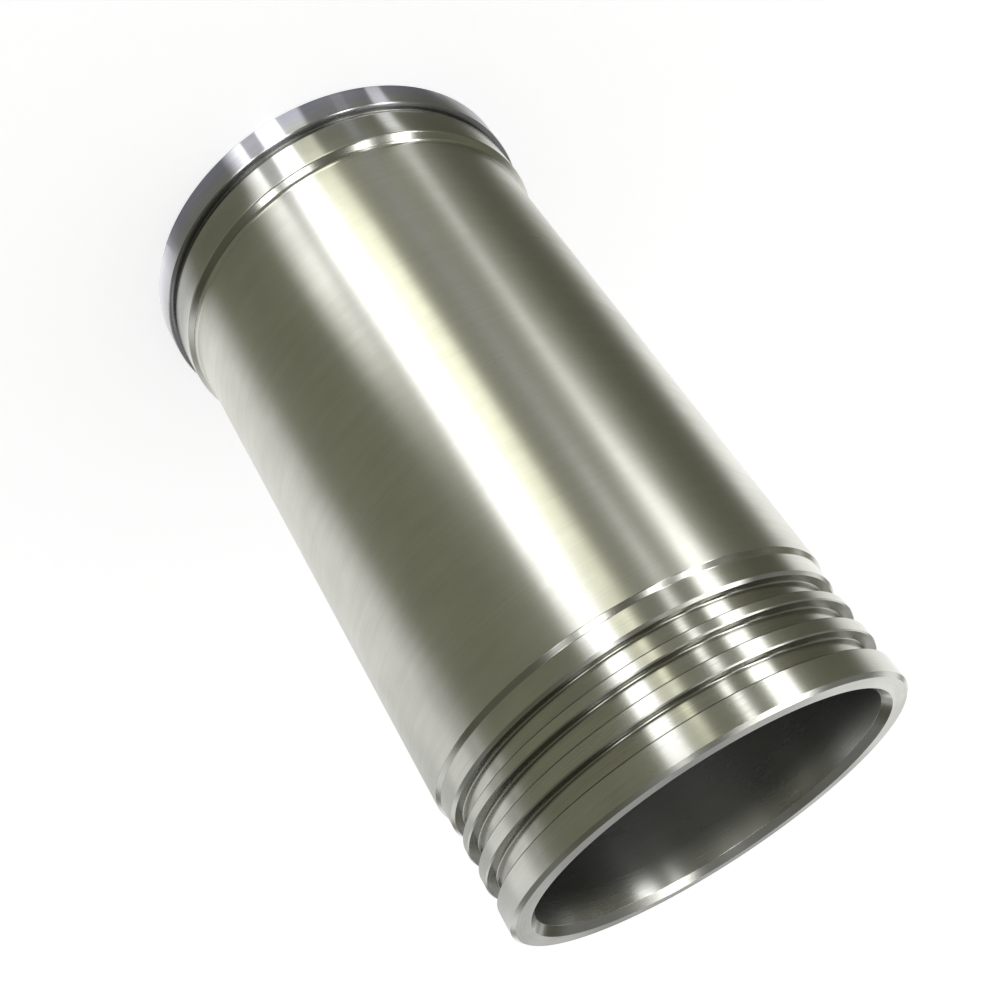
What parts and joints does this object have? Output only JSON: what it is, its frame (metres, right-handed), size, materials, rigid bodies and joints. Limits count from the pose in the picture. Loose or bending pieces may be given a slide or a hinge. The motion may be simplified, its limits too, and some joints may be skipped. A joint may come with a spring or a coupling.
{
  "type": "cylinder liner",
  "caption": "Wet cylinder liner: flanged sleeve with a through bore, ground pilot lands and seal ring grooves at the skirt end.",
  "frame": {"origin": "centre of the flange's fire face, which is also the bottom centre of the bounding box", "axes": "+Z along the bore, from the fire face towards the skirt end with the seal ring grooves"},
  "size_m": [0.1296, 0.1296, 0.23],
  "materials": {
    "ground_iron": "bright, ground outside, fine turned lands and grooves, honed bore"
  },
  "bodies": {
    "root": {"cylinder_liner": "ground_iron"}
  },
  "joints": []
}
